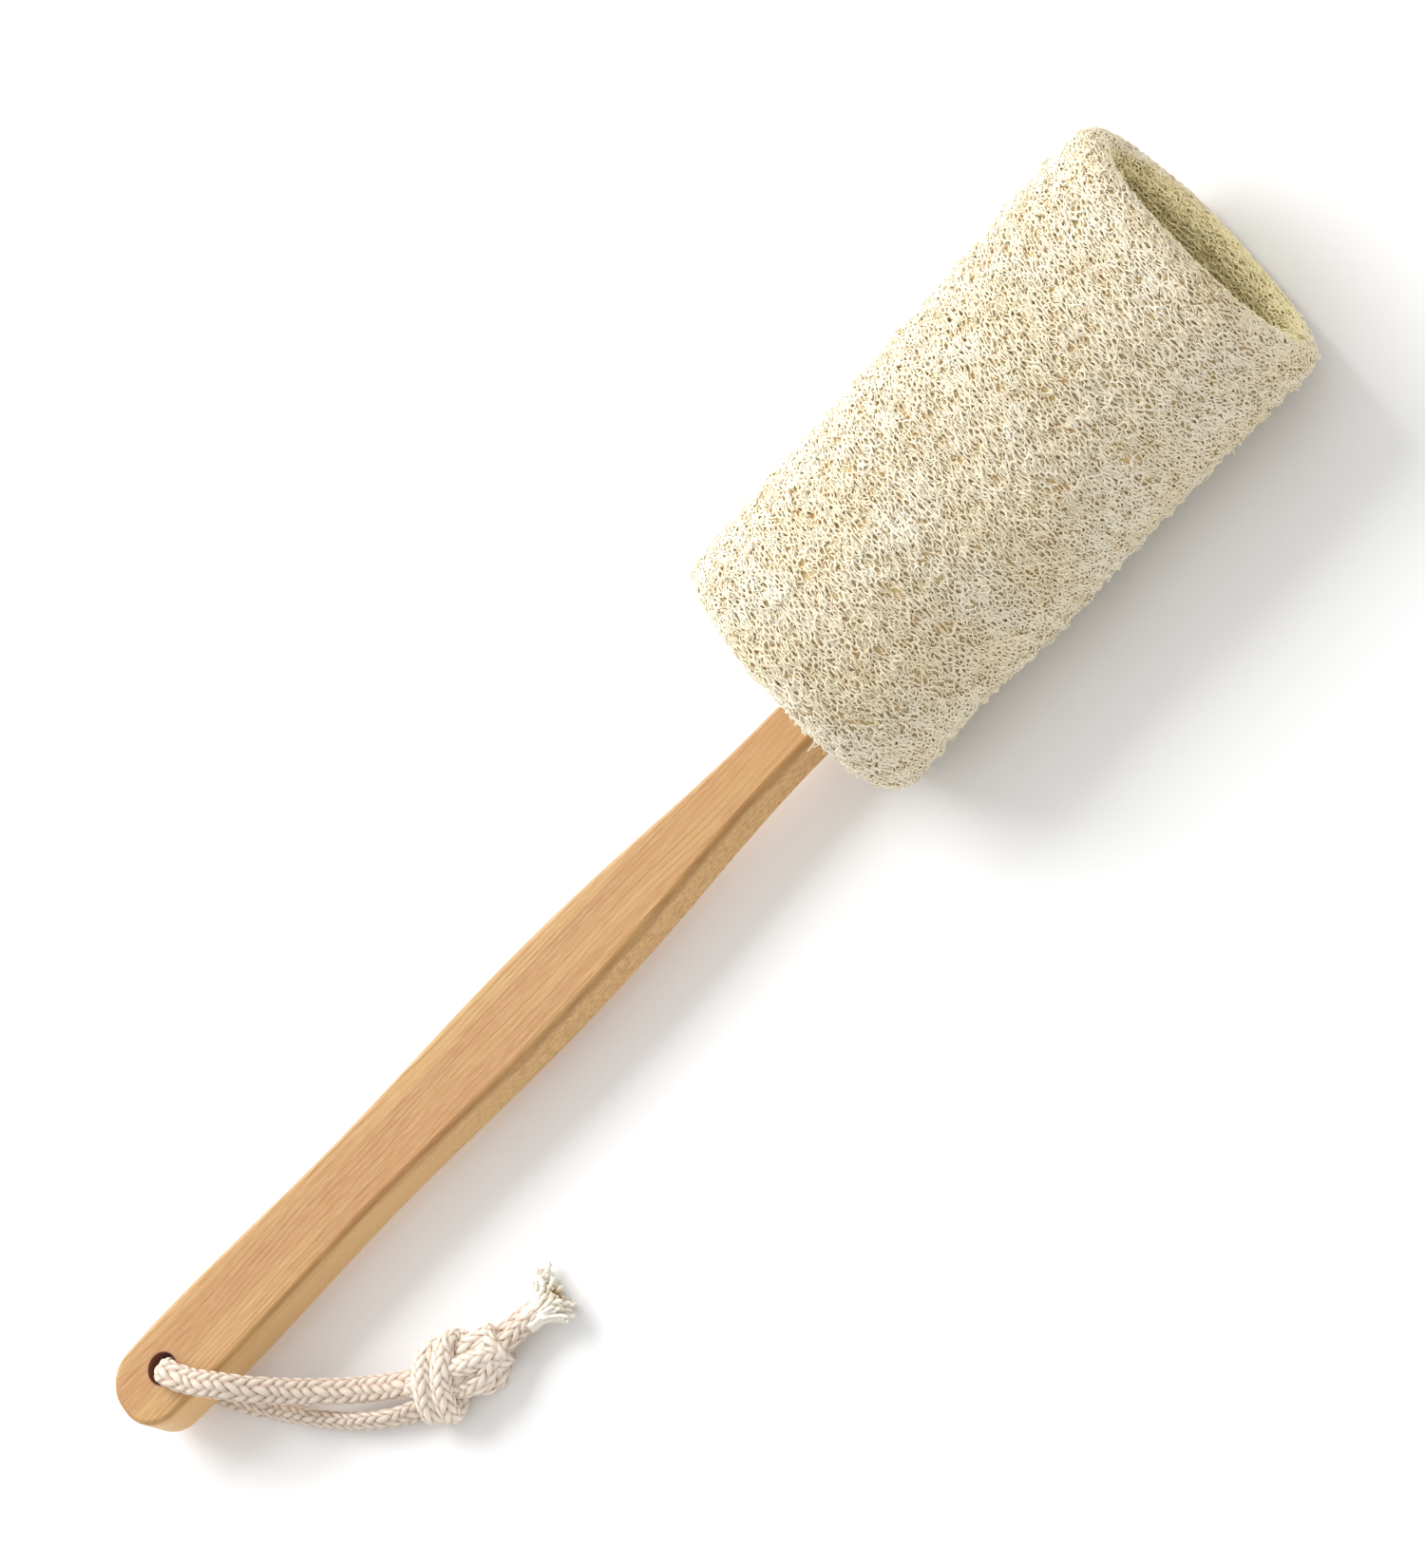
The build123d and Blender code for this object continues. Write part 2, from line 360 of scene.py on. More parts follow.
def add_mesh(name, vertices, faces, material, attributes=None):
    mesh = bpy.data.meshes.new(name)
    mesh.from_pydata([tuple(v) for v in vertices], [], faces)
    for key, values in (attributes or {}).items():
        attribute = mesh.attributes.new(key, "FLOAT", "POINT")
        attribute.data.foreach_set("value", np.asarray(values, np.float32))
    mesh.polygons.foreach_set("use_smooth", [True] * len(mesh.polygons))
    mesh.materials.append(material)
    mesh.validate()
    mesh.update()
    piece = bpy.data.objects.new(name, mesh)
    bpy.context.scene.collection.objects.link(piece)
    return piece


def tube_faces(rings, around):
    """Faces between rings of points, with one face to close each end."""
    faces = []
    for ring in range(rings - 1):
        for k in range(around):
            after = (k + 1) % around
            low, high = ring * around, (ring + 1) * around
            faces.append((low + k, low + after, high + after, high + k))
    faces.append(tuple(reversed(range(around))))
    faces.append(tuple(range((rings - 1) * around, rings * around)))
    return faces


def braided_cord(name, points, along, side, material, width, thick, twist=None):
    """A closed skin of braid along a line, its section an oval.

    side is where the section's width points: one start, or a direction for each point.
    """
    sides = carried_sides(points, side) if np.ndim(side) == 1 else side
    ups = np.cross(directions(points), sides)
    turn = np.arange(AROUND_CORD) / AROUND_CORD
    angle = 2 * math.pi * turn[None, :]
    height, across = braid(turn[None, :], along[:, None])
    push = (height - BRAID_MIDDLE) * BRAID_RELIEF
    wide = (width / 2 + push) * np.cos(angle)
    tall = (thick / 2 + push) * np.sin(angle)
    roll = np.zeros(len(points)) if twist is None else twist
    cos, sin = np.cos(roll)[:, None], np.sin(roll)[:, None]
    east, north = wide * cos - tall * sin, wide * sin + tall * cos
    grid = points[:, None, :] + east[..., None] * sides[:, None, :]
    grid = grid + north[..., None] * ups[:, None, :]
    grid[..., 2] = np.maximum(grid[..., 2], REST)
    attributes = {"relief": height.ravel(), "across": across.ravel()}
    faces = tube_faces(len(points), AROUND_CORD)
    return add_mesh(name, grid.reshape(-1, 3), faces, material, attributes)


# %% [markdown]
# ## Cotton
# Undyed cotton is a warm off-white. On the sides of the yarns and down in the gaps of the braid it is
# painted darker and pinker, as painted shade. The relief was stored on every point of the skin, so the
# colour can simply follow it. Fine lines along each yarn come from the place across the yarn, as a
# small bump.

# %% Cotton finish
def cotton_finish(name, light, shade, gap):
    """Braided cotton: its own colour on top of the yarns, painted shade on their sides, darker painted
    shade in the gaps.
    """
    material, tree, shader = finish_named(name, 0.92)
    relief = tree.node("ShaderNodeAttribute", {"attribute_name": "relief"}, out="Fac")
    across = tree.node("ShaderNodeAttribute", {"attribute_name": "across"}, out="Fac")
    place = tree.node("ShaderNodeTexCoord", out="Object")
    patches = tree.node("ShaderNodeTexNoise", {}, {"Vector": place, "Scale": 330.0, "Detail": 3.0})
    # The relief picks the colour: painted shade on the yarns' sides and darker painted shade in the
    # gaps.
    stops = [(0.22, gap), (0.5, shade), (0.92, light)]
    colour = tree.node("ShaderNodeValToRGB", {"stops": stops}, {"Fac": relief + (patches - 0.5) * 0.35})
    plug(tree, colour, shader, "Base Color")
    lines = tree.node("ShaderNodeMath", {"operation": "SINE"}, {0: across * 25.0})
    fuzz = tree.node("ShaderNodeTexNoise", {}, {"Vector": place, "Scale": 2600.0, "Detail": 2.0})
    bumps = {"Height": lines * 0.5 + fuzz * 0.6, "Strength": 0.5, "Distance": 0.00012}
    plug(tree, tree.node("ShaderNodeBump", {}, bumps), shader, "Normal")
    return material


cotton = cotton_finish("cotton", srgb(232, 218, 203), srgb(203, 178, 156), srgb(122, 80, 58))
# The knot's cotton is painted lighter all over, as painted light on the knot, which stands higher than
# the legs.
lit_knot_cotton = cotton_finish(
    "cotton_knot_painted_lighter", srgb(246, 235, 220), srgb(222, 201, 180), srgb(136, 94, 70),
)
print("finishes:", cotton.name, "and", lit_knot_cotton.name)

# %% [markdown]
# ## The two legs of the loop
# The loop goes down through the hole, so it is made as two legs that meet in the middle of the hole.
# The cord is flat: on top it shows its broad side, and underneath it lies nearly on edge, so the
# section rolls over slowly along the way.

# %% Legs
HOLE_MIDDLE = (HANDLE_LOW.z + HANDLE_HIGH.z) / 2
HOLE_CENTRE = HOLE + Vector((0, 0, HOLE_MIDDLE))
TWIST_PLACES = [0, 0.57, 0.72, 0.92, 1]
TWIST_ANGLES = [0, 0, 1.3, 1.35, 0.7]
twist = np.interp(loop_along / loop_along[-1], TWIST_PLACES, TWIST_ANGLES)
loop_sides = carried_sides(loop_line, (0.7, 0.7, 0))
in_hole = int(np.argmin(np.linalg.norm(loop_line - np.array(HOLE_CENTRE), axis=1)))
legs = []
for name, part in (("cord_over", slice(0, in_hole + 1)), ("cord_under", slice(in_hole, None))):
    leg = braided_cord(name, loop_line[part], loop_along[part], loop_sides[part], cotton,
                       CORD_WIDTH, CORD_THICKNESS, twist[part])
    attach(leg, "cord")
    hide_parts("hanging_cord")
    legs.append(leg)
    print(name, len(leg.data.polygons), "faces")

# %% [markdown]
# ## The knot
# Both ends of the cord are tied together in one overhand knot. A lump of dough with bands on it would
# do from afar. Here the doubled cord really goes round: in between the legs, back along the lower
# side, over the legs in a broad band, underneath, and up and out to the tails. The two cords keep
# side by side, because each is shifted along the surface of the knot, at right angles to the way out
# from its axis.

# %% Way of the doubled cord
KNOT_ROUTE = [
    (47.0, -46.4, 6.2),
    (52.5, -51.5, 6.0),
    (57.5, -58.0, 4.8),
    (61.6, -60.8, 5.0),
    (65.4, -59.8, 5.0),
    (68.0, -56.0, 4.6),
    (65.6, -51.4, 5.0),
    (62.6, -47.2, 5.8),
    (59.2, -45.4, 10.0),
    (54.4, -51.2, 13.0),
    (49.2, -57.2, 10.0),
    (47.4, -59.4, 5.0),
    (51.5, -54.5, 2.8),
    (57.0, -51.4, 3.4),
    (59.4, -51.6, 9.0),
    (64.6, -54.4, 10.2),
    (71.0, -55.4, 6.6),
]
KNOT_AXIS = [(45.0, -45.0, 6.0), (56.0, -54.5, 6.0), (84.0, -55.6, 3.0)]
KNOT_HEART = [(51.0, -49.8, 6.4), (57.0, -53.8, 6.6), (64.0, -55.2, 6.2), (71.5, -55.6, 5.4)]
HEART_SECTION = (12.0 * MM, 8.6 * MM)
KNOT_WIDTH = 5.7 * MM
KNOT_THICK = 4.6 * MM
PAIR_SHIFT = 2.55 * MM
AXIS_STEP = 0.5 * MM
SMOOTHED_OVER = 21


def along_surface(line):
    """At each point of the knot's line, the direction along its surface, across the line."""
    axis = even_steps(np.array([from_hole(point) for point in KNOT_AXIS]), AXIS_STEP)[0]
    nearest = np.linalg.norm(line[:, None] - axis[None], axis=2).argmin(axis=1)
    outward = line - axis[nearest]
    tangents = np.gradient(line, axis=0)
    across = np.cross(directions(line), outward)
    window = np.ones(SMOOTHED_OVER) / SMOOTHED_OVER
    half = SMOOTHED_OVER // 2
    padded = np.pad(across, ((half, half), (0, 0)), mode="edge")
    across = np.stack([np.convolve(padded[:, k], window, "valid") for k in range(3)], axis=1)
    across -= tangents * ((across * tangents).sum(1) / (tangents ** 2).sum(1))[:, None]
    return across / np.linalg.norm(across, axis=1)[:, None]


knot_line = even_steps(smooth_line("knot_line", KNOT_ROUTE), CORD_STEP)[0]
pair_side = along_surface(knot_line)
print("knot takes", round(CORD_STEP * len(knot_line) / MM), "mm of the doubled cord")

# %% [markdown]
# A pulled knot has no hollow in it. The two cords follow their line side by side, and a short thick
# core along the knot's axis fills what they leave open in the middle. All three become one piece.

# %% Knot
def join(pieces, name):
    """Several mesh objects made into one."""
    bpy.ops.object.select_all(action="DESELECT")
    for piece in pieces:
        piece.select_set(True)
    bpy.context.view_layer.objects.active = pieces[0]
    if len(pieces) > 1:
        bpy.ops.object.join()
    pieces[0].name = name
    return pieces[0]


knot_strands = []
for shift in (-PAIR_SHIFT, PAIR_SHIFT):
    line = knot_line + pair_side * shift
    gaps = np.linalg.norm(np.diff(line, axis=0), axis=1)
    along = np.concatenate([[0], np.cumsum(gaps)])
    strand = braided_cord("knot_part", line, along, pair_side, lit_knot_cotton, KNOT_WIDTH, KNOT_THICK)
    knot_strands.append(strand)

heart_line, heart_along = even_steps(smooth_line("heart_line", KNOT_HEART), CORD_STEP)
heart = braided_cord("knot_part", heart_line, heart_along, (0, 1, 0), lit_knot_cotton, *HEART_SECTION)
knot_strands.append(heart)
knot = join(knot_strands, "knot")
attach(knot, "cord")
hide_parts("cord_knot")
print("knot:", len(knot.data.polygons), "faces")

# %% [markdown]
# ## Fibres from lines
# Frayed ends, loose hairs and the whole loofah are all thin fibres that follow a line. Drawing each
# one by hand would never end. One Geometry Nodes tree turns the edges of a helper mesh into curves,
# lets noise bend them, and gives them a thickness. A second tree first swaps a triangle mesh for its
# dual, whose uneven six-sided cells are just like a plant's net. Left out is the share of edges that
# are dropped at random, and Pits drops more of them in patches.

# %% Geometry Nodes: fibres from edges
FIBRE_INPUTS = [
    ("Fibre radius", "NodeSocketFloat", 0.3 * MM),
    ("Weave", "NodeSocketFloat", 0.6 * MM),
    ("Waviness", "NodeSocketFloat", 0.35 * MM),
    ("Left out", "NodeSocketFloat", 0.1),
    ("Pits", "NodeSocketFloat", 0.0),
    ("Points each", "NodeSocketInt", 3),
    ("Seed", "NodeSocketInt", 1),
    ("Material", "NodeSocketMaterial", None),
]


def fibre_tree(name, cells):
    """Edges of a mesh, or of its dual cells, made into waving fibres of uneven thickness."""
    group = bpy.data.node_groups.new(name, "GeometryNodeTree")
    group.interface.new_socket("Geometry", in_out="INPUT", socket_type="NodeSocketGeometry")
    group.interface.new_socket("Geometry", in_out="OUTPUT", socket_type="NodeSocketGeometry")
    for label, kind, value in FIBRE_INPUTS:
        socket = group.interface.new_socket(label, in_out="INPUT", socket_type=kind)
        if value is not None:
            socket.default_value = value
    tree = Tree(group)
    given = tree.node("NodeGroupInput", out=None)
    given = {socket.name: Wire(group, socket) for socket in given.outputs}
    net = given["Geometry"]
    if cells:
        net = tree.node("GeometryNodeDualMesh", {}, {"Mesh": net})
    place = tree.node("GeometryNodeInputPosition")
    patch = tree.node("ShaderNodeTexNoise", {}, {"Vector": place, "Scale": 300.0, "Detail": 1.0})
    chance = given["Left out"] + given["Pits"] * ranged(tree, patch, 0.54, 0.64)
    chance = {"Probability": chance, "Seed": given["Seed"]}
    gone = tree.node("FunctionNodeRandomValue", {"data_type": "BOOLEAN"}, chance, out=3)
    dropped = {"Geometry": net, "Selection": gone}
    net = tree.node("GeometryNodeDeleteGeometry", {"domain": "EDGE"}, dropped)
    normal = tree.node("GeometryNodeInputNormal")
    wave = {"Vector": place, "W": given["Seed"] * 3.7, "Scale": 420.0}
    wave = tree.node("ShaderNodeTexNoise", {"noise_dimensions": "4D"}, wave)
    lift = (wave - 0.5) * 2.0 * given["Weave"]
    rise = tree.node("ShaderNodeVectorMath", {"operation": "SCALE"}, {0: normal, "Scale": lift})
    net = tree.node("GeometryNodeSetPosition", {}, {"Geometry": net, "Offset": rise})
    line = tree.node("GeometryNodeMeshToCurve", {}, {"Mesh": net})
    line = tree.node("GeometryNodeResampleCurve", {}, {"Curve": line, "Count": given["Points each"]})
    drift = {"Vector": place, "W": given["Seed"] * 1.3, "Scale": 700.0}
    drift = tree.node("ShaderNodeTexNoise", {"noise_dimensions": "4D"}, drift, out="Color")
    centred = {0: drift, 1: (0.5, 0.5, 0.5)}
    centred = tree.node("ShaderNodeVectorMath", {"operation": "SUBTRACT"}, centred)
    shift = {0: centred, "Scale": given["Waviness"] * 2.0}
    shift = tree.node("ShaderNodeVectorMath", {"operation": "SCALE"}, shift)
    line = tree.node("GeometryNodeSetPosition", {}, {"Geometry": line, "Offset": shift})
    thick = tree.node("ShaderNodeTexNoise", {}, {"Vector": place, "Scale": 240.0, "Detail": 1.0})
    section = {"Resolution": 3, "Radius": given["Fibre radius"]}
    section = tree.node("GeometryNodeCurvePrimitiveCircle", {}, section)
    tubes = {"Curve": line, "Profile Curve": section, "Scale": thick * 1.6 + 0.2, "Fill Caps": True}
    net = tree.node("GeometryNodeCurveToMesh", {}, tubes)
    net = tree.node("GeometryNodeSetShadeSmooth", {}, {"Geometry": net})
    net = tree.node("GeometryNodeRealizeInstances", {}, {"Geometry": net})
    net = tree.node("GeometryNodeSetMaterial", {}, {"Geometry": net, "Material": given["Material"]})
    end = tree.node("NodeGroupOutput", out=None)
    group.links.new(net.socket, end.inputs["Geometry"])
    return group


NET_TREE = fibre_tree("net_of_cells", cells=True)
STRAND_TREE = fibre_tree("loose_strands", cells=False)
print("nodes in a fibre tree:", len(NET_TREE.nodes), "and", len(STRAND_TREE.nodes))

# %% [markdown]
# ## Growing the fibres
# A modifier that stays live would be worked out again at every step, so each helper mesh is grown
# once and its result kept as a plain mesh. The tree's inputs are set by their identifiers, which stay
# the same even if an input is renamed.

# %% Growing fibres on a helper mesh
def grown(name, vertices, edges, faces, tree, **inputs):
    """Runs a fibre tree on a helper mesh and keeps the result as a plain mesh object."""
    mesh = bpy.data.meshes.new(name)
    mesh.from_pydata([tuple(v) for v in vertices], edges, faces)
    mesh.update()
    piece = bpy.data.objects.new(name, mesh)
    bpy.context.scene.collection.objects.link(piece)
    modifier = piece.modifiers.new("fibres", "NODES")
    modifier.node_group = tree
    given = [item for item in tree.interface.items_tree if item.in_out == "INPUT"]
    identifiers = {item.name: item.identifier for item in given}
    for label, value in inputs.items():
        modifier[identifiers[label.replace("_", " ")]] = value
    evaluated = piece.evaluated_get(bpy.context.evaluated_depsgraph_get())
    result = bpy.data.meshes.new_from_object(evaluated)
    for vertex in result.vertices:
        vertex.co.z = max(vertex.co.z, REST)
    piece.modifiers.clear()
    piece.data = result
    triangles = sum(len(face.vertices) - 2 for face in result.polygons)
    print(name, triangles, "triangles")
    return piece


def loose(name, lines, material, seed, radius, waviness, steps, pits=0.0):
    """Separate fibres, one along each line. lines has the shape fibres, points, 3."""
    count, each = lines.shape[:2]
    edges = [(k * each + j, k * each + j + 1) for k in range(count) for j in range(each - 1)]
    shape = {"Fibre_radius": radius, "Weave": 0.0, "Waviness": waviness, "Left_out": 0.0}
    return grown(name, lines.reshape(-1, 3), edges, [], STRAND_TREE, Points_each=steps, Seed=seed,
                 Material=material, Pits=pits, **shape)


# %% [markdown]
# ## Frayed tails
# Past the knot the cut ends come undone: the braid stops, and its yarns flare out in a small brush
# with a few longer threads. The brush is a bundle of short lines that start inside the cord and lean
# outwards, the outer ones most.

# %% Yarn finish
FRAY_MIDDLE = from_hole((88.0, -56.0, 4.6))


def yarn_finish():
    """Loose yarn, cream outside and tan towards the middle of the brush."""
    material, tree, shader = finish_named("yarn", 0.92)
    place = tree.node("ShaderNodeTexCoord", out="Object")
    blotches = tree.node("ShaderNodeTexNoise", {}, {"Vector": place, "Scale": 330.0, "Detail": 2.0})
    from_middle = {0: place, 1: tuple(FRAY_MIDDLE)}
    from_middle = tree.node("ShaderNodeVectorMath", {"operation": "DISTANCE"}, from_middle, out="Value")
    brush_paleness = ranged(tree, from_middle * (1 / MM) + blotches * 3.0, 3.6, 6.2)
    stops = [(0.0, srgb(196, 156, 108)), (0.5, srgb(240, 226, 202)), (1.0, srgb(252, 246, 232))]
    plug(tree, tree.node("ShaderNodeValToRGB", {"stops": stops}, {"Fac": brush_paleness}), shader, "Base Color")
    fibres = tree.node("ShaderNodeTexNoise", {}, {"Vector": place, "Scale": 3200.0, "Detail": 2.0})
    bumps = {"Height": fibres, "Strength": 0.5, "Distance": 0.0001}
    plug(tree, tree.node("ShaderNodeBump", {}, bumps), shader, "Normal")
    return material


yarn = yarn_finish()
print("finish:", yarn.name)

# %% [markdown]
# A brush made of straight lines would look like a broom. Each yarn starts somewhere in the cord's
# section, flares with the others, and then leans out by an amount of its own. A few are left longer.

# %% Tails
TAIL_WIDTH, TAIL_THICK = 5.2 * MM, 4.4 * MM
FRAY_YARNS = 200
FRAY_START = 5.0 * MM
FRAY_WIDTH = 2.7 * MM
FRAY_FLARE = 2.0 * MM
FRAY_REACH = (2.6 * MM, 5.6 * MM)
FRAY_FLATNESS = 0.62
FRAY_LOWEST = 0.9 * MM
FRAY_SEED = 30
LONG_YARNS = 7
LONG_YARN_EXTRA = 2.4 * MM
YARN_RADIUS, YARN_WAVINESS = 0.6 * MM, 0.6 * MM


def frayed(end, ahead, seed):
    """Lines of the loose yarns at the end of a tail that points ahead."""
    random = np.random.default_rng(seed)
    side = np.cross(ahead, (0, 0, 1))
    side /= np.linalg.norm(side)
    up = np.cross(side, ahead)
    angle = random.uniform(0, 2 * math.pi, FRAY_YARNS)
    off = np.sqrt(random.uniform(0, 1, FRAY_YARNS))
    reach = random.uniform(*FRAY_REACH, FRAY_YARNS)
    reach[:LONG_YARNS] += LONG_YARN_EXTRA
    lean = off * random.uniform(0.1, 1.0, FRAY_YARNS)
    out = np.cos(angle)[:, None] * side + FRAY_FLATNESS * np.sin(angle)[:, None] * up
    lines = []
    for way in np.linspace(0, 1, 5):
        gone = (FRAY_START + reach) * way
        spread = off * (FRAY_WIDTH + FRAY_FLARE * way ** 2) + lean * np.maximum(gone - FRAY_START, 0)
        lines.append(end - ahead * FRAY_START + ahead * gone[:, None] + out * spread[:, None])
    lines = np.stack(lines, axis=1)
    lines[..., 2] = np.maximum(lines[..., 2], FRAY_LOWEST)
    return lines


tails = []
for number, route in enumerate(TAIL_ROUTES, start=1):
    line, along = even_steps(smooth_line("tail_line", route), CORD_STEP)
    tail = braided_cord(f"tail_{number}", line, along, (0, 1, 0), cotton, TAIL_WIDTH, TAIL_THICK)
    last_bit = line[-1] - line[-8]
    ahead, seed = last_bit / np.linalg.norm(last_bit), FRAY_SEED + number
    yarns = frayed(line[-1], ahead, seed)
    brush = loose("brush", yarns, yarn, seed, YARN_RADIUS, YARN_WAVINESS, steps=7)
    tail = join([tail, brush], f"tail_{number}")
    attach(tail, "cord")
    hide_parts(f"cord_tail_{number}")
    tails.append(tail)

# %% [markdown]
# ## Paths of the legs
# Each leg's line is read off from the middle of the hole outwards, every fifth point, and paired with
# the pieces that hang on it: the knot and the tails with the upper leg. Nothing more is done with them.

# %% Paths of the legs
over_path, under_path = loop_line[in_hole::-5], loop_line[in_hole::5]
for leg, path, carried in ((legs[0], over_path, [knot] + tails), (legs[1], under_path, [])):
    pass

# %% [markdown]
# ## The loofah head
# A loofah is the dried skeleton of a gourd: a springy net of tough fibres, densest on the outside,
# where most of them run round the fruit. The wall could be a solid with a bumpy skin, but the edge and
# the mouth would give it away. Here the net is real: cells are laid over the wall in several layers,
# and every cell edge becomes a fibre. First come the wall's sizes.

# %% Size of the head
SLEEVE_LOW, SLEEVE_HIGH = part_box("loofah_sleeve")
HEAD_LENGTH = 152.0 * MM
HEAD_START, HEAD_END = -HEAD_LENGTH / 2, HEAD_LENGTH / 2
WIDTH_CLOSED, WIDTH_MOUTH = 81.5 * MM, 87.0 * MM
HEIGHT_CLOSED, HEIGHT_MOUTH = 54.0 * MM, 57.0 * MM
UNDERSIDE_FLAT = 2.6 * MM
WALL = 8.7 * MM
LIP = 5.7 * MM
LIP_FADE = 18.0 * MM
END_ROUND = 6.0 * MM
CAP_REACH = 20.6 * MM
CAP_BULGE = 2.2 * MM
MOUTH_LEAN = 4.5 * MM
HEAD_YAW = math.radians(1.4)
GIRTH = math.pi * (WIDTH_MOUTH + HEIGHT_MOUTH) / 2
FADE_IN = 12 * MM
print("head sides:", [round(v / MM, 1) for v in SLEEVE_HIGH - SLEEVE_LOW])

# %% [markdown]
# ## A map of the wall
# Every layer follows the same way: from the middle of the closed end, round its corner, along the
# outside, over the lip of the mouth and back along the inside. The distance gone on that way, called
# the run, and the angle round the head are the map that all fibres are drawn on.

# %% The way along the wall
def wall_parts(inside_reach):
    """Lengths of the way along the wall, with their names."""
    outside = HEAD_LENGTH - END_ROUND - LIP
    parts = [(CAP_REACH, "cap"), (END_ROUND * math.pi / 2, "corner"), (outside, "outside")]
    return parts + [(LIP * math.pi, "lip"), (inside_reach, "inside")]


def wall_place(run, inside_reach):
    """Place x, distance in from the outside, and the outward direction of both, at each run."""
    x, off, out_x, out_off = (np.zeros_like(run) for _ in range(4))
    start = 0.0
    for length, part in wall_parts(inside_reach):
        here = (run >= start) if part == "inside" else (run >= start) & (run < start + length)
        way = run[here] - start
        if part == "cap":
            x[here] = HEAD_START - CAP_BULGE * (1 - (way / CAP_REACH) ** 2)
            off[here] = END_ROUND + CAP_REACH - way
            out_x[here] = -1
        elif part == "corner":
            bend = way / END_ROUND
            x[here] = HEAD_START + END_ROUND * (1 - np.cos(bend))
            off[here] = END_ROUND * (1 - np.sin(bend))
            out_x[here], out_off[here] = -np.cos(bend), -np.sin(bend)
        elif part == "outside":
            x[here] = HEAD_START + END_ROUND + way
            out_off[here] = -1
        elif part == "lip":
            bend = way / LIP
            x[here], off[here] = HEAD_END - LIP + LIP * np.sin(bend), LIP * (1 - np.cos(bend))
            out_x[here], out_off[here] = np.sin(bend), -np.cos(bend)
        else:
            x[here] = HEAD_END - LIP - way
            off[here] = WALL + (2 * LIP - WALL) * np.exp(-way / LIP_FADE)
            out_off[here] = 1
        start += length
    return x, off, out_x, out_off


print("way to the mouth's rim:", round(sum(length for length, _ in wall_parts(0)) / MM), "mm")

# %% [markdown]
# ## From the map to the head's shape
# A perfect oval would look turned on a lathe. Waves of several lengths are added up: long ones swell
# the wall softly, short ones ripple it, mostly along one side, and a row of beads runs round the rim.
# Then the oval is laid flat on its underside, leant at the mouth and turned a little on the neck.

# %% Points on the wall
BEADS_ROUND, BEADS_REACH, BEADS_FADE = 72, 12 * MM, 8 * MM
NEAR_SIDE, NEAR_SIDE_WIDTH = math.pi + 0.36, 0.36


def lumps(x, angle):
    """Soft swells of a grown thing, and small ripples that are strongest along one side."""
    swell = 0.5 * np.sin(2 * angle + 55 * x + 0.6) * np.cos(38 * x + 1.1)
    swell = swell + 0.45 * np.sin(5 * angle - 90 * x + 2.1) + 0.4 * np.sin(3 * angle + 130 * x)
    wave = 1450 * x + 3.0 * np.sin(2 * angle) + 2.4 * np.sin(150 * x) + 1.2 * np.sin(7 * angle)
    ripple = np.sin(wave) * (0.6 + 0.4 * np.sin(310 * x + 4 * angle))
    ripple = ripple + 0.5 * np.sin(590 * x + 2 * np.sin(9 * angle))
    near_side = np.exp(-((np.mod(angle, 2 * math.pi) - NEAR_SIDE) / NEAR_SIDE_WIDTH) ** 2)
    at_rim = np.clip((x - HEAD_END + BEADS_REACH) / BEADS_FADE, 0, 1)
    beads = np.sin(BEADS_ROUND * angle) * at_rim
    return (0.75 * swell + (0.08 + 0.45 * near_side) * ripple + (0.08 + 0.3 * near_side) * beads) * MM


def oval_point(x, angle, off):
    """Point of the head at x and angle, a distance in from its outer oval, with a flat underside."""
    share = (x - HEAD_START) / HEAD_LENGTH
    half_width = (WIDTH_CLOSED + share * (WIDTH_MOUTH - WIDTH_CLOSED)) / 2 - off
    half_height = (HEIGHT_CLOSED + share * (HEIGHT_MOUTH - HEIGHT_CLOSED)) / 2 - off
    centre = (HEIGHT_CLOSED + share * (HEIGHT_MOUTH - HEIGHT_CLOSED)) / 2 - UNDERSIDE_FLAT
    y = half_width * np.cos(angle)
    z = np.maximum(centre + half_height * np.sin(angle), 0.6 * MM + np.maximum(off, 0) * 0.68)
    x = x - MOUTH_LEAN * (z / HEIGHT_MOUTH) * np.clip(share, 0, 1) ** 2
    cos, sin = math.cos(HEAD_YAW), math.sin(HEAD_YAW)
    return np.stack([cos * x - sin * y, sin * x + cos * y, z], axis=-1)


def wall_point(run, angle, depth, inside_reach):
    """Point of the head at a place on the map, so deep under the wall's skin."""
    x, off, out_x, out_off = wall_place(run, inside_reach)
    fade = np.clip((x - HEAD_START) / FADE_IN, 0, 1)
    return oval_point(x - depth * out_x, angle, off - depth * out_off - lumps(x, angle) * fade)


corner_point = wall_point(np.array([CAP_REACH]), np.array([0.0]), 0.0, 0.0)[0]
print("a point on the closed end:", [round(float(v) / MM, 1) for v in corner_point], "mm")

# %% [markdown]
# ## Net over the wall
# The net's cells come from triangles. Rows of points go right round the map, every second row half a
# step on, and each point is pushed about, so that no two cells are alike. Where the handle's neck
# goes in, the triangles are left out, so that no fibre runs through the wood.

# %% Lattice over the wall
NECK_HALF_WIDTH, NECK_GAP, NECK_DEPTH = 7.4 * MM, 0.6 * MM, 14 * MM
NECK_LOW_Y, NECK_HIGH_Y = HOLE.y - NECK_HALF_WIDTH, HOLE.y + NECK_HALF_WIDTH
NECK_LOW_Z, NECK_HIGH_Z = HANDLE_LOW.z - NECK_GAP, HANDLE_HIGH.z + NECK_GAP
NET_PUSH = 0.5


